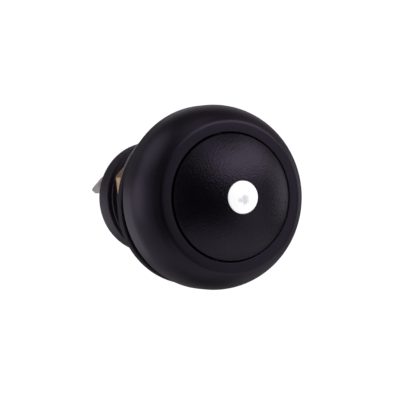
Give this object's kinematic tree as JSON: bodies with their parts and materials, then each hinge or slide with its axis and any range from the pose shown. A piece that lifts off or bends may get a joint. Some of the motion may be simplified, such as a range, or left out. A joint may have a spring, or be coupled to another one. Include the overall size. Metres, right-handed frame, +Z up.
{
  "type": "industrial push button",
  "caption": "Round sealed push button with a domed cap, a light window in its middle, a threaded shank with nut and washer, and solder lugs.",
  "frame": {"origin": "on the shank's axis, at the rear face of the panel gasket, where the panel's front lies", "axes": "+Y along the shank from the panel towards the terminals, the cap faces -Y, +Z up"},
  "size_m": [0.018, 0.0273, 0.018],
  "materials": {
    "black_housing": "fine moulded grain, satin",
    "black_bezel": "smooth satin black",
    "black_cap": "fine spark texture",
    "black_rubber": "matte black",
    "silicone": "soft translucent grey",
    "white_lens": "glossy diffusing white",
    "acetal": "natural white",
    "base_resin": "matte black",
    "epoxy": "cast, slightly glossy",
    "spring_steel": "drawn wire",
    "stainless": "stamped sheet",
    "nut_brass": "turned, lightly tarnished",
    "contact_brass": "stamped sheet",
    "contact_silver": "silver alloy",
    "tinned_brass": "tin plated sheet",
    "lamp_epoxy": "clear moulded epoxy, milky"
  },
  "bodies": {
    "housing": {"bezel": "black_bezel", "threaded_bushing": "black_housing", "panel_gasket": "black_rubber", "boot_clamp_ring": "stainless", "sealing_boot": "silicone", "return_spring": "spring_steel", "fixed_contact_tips": "contact_silver", "contact_lug_common": "tinned_brass", "contact_lug_switched": "tinned_brass", "led_lug_anode": "tinned_brass", "led_lug_cathode": "tinned_brass", "terminal_base": "base_resin", "potting_seal": "epoxy", "led_lamp": "lamp_epoxy", "led_holder": "acetal", "led_leads": "tinned_brass"},
    "plunger": {"button_cap": "black_cap", "lens": "white_lens", "plunger_stem": "acetal", "stem_clip": "stainless", "bridge_retainer": "stainless", "contact_spring": "spring_steel"},
    "bridge": {"contact_bridge": "contact_brass", "moving_contact_tips": "contact_silver"},
    "washer": {"lock_washer": "stainless"},
    "nut": {"hex_nut": "nut_brass"}
  },
  "joints": [
    {"name": "button_press", "type": "slide", "parent": "housing", "child": "plunger", "axis": [0, 1, 0], "range_m": [0, 0.0015], "stiffness_N_per_m": 1000, "springref_m": -0.001, "deforming": ["return_spring", "sealing_boot", "contact_spring"]},
    {"name": "bridge_travel", "type": "slide", "parent": "housing", "child": "bridge", "axis": [0, 1, 0], "range_m": [0, 0.0009]},
    {"name": "washer_slide", "type": "slide", "parent": "housing", "child": "washer", "axis": [0, 1, 0], "range_m": [0, 0.004]},
    {"name": "nut_turn", "type": "hinge", "parent": "washer", "child": "nut", "pos_m": [0, 0, 0], "axis": [0, 1, 0], "range_deg": [0, 1152.01]}
  ],
  "couplings": [
    {"joint": "bridge_travel", "follows": "button_press", "ratio": 0.6},
    {"joint": "nut_turn", "follows": "washer_slide", "rad_per_m": 5026.5}
  ]
}
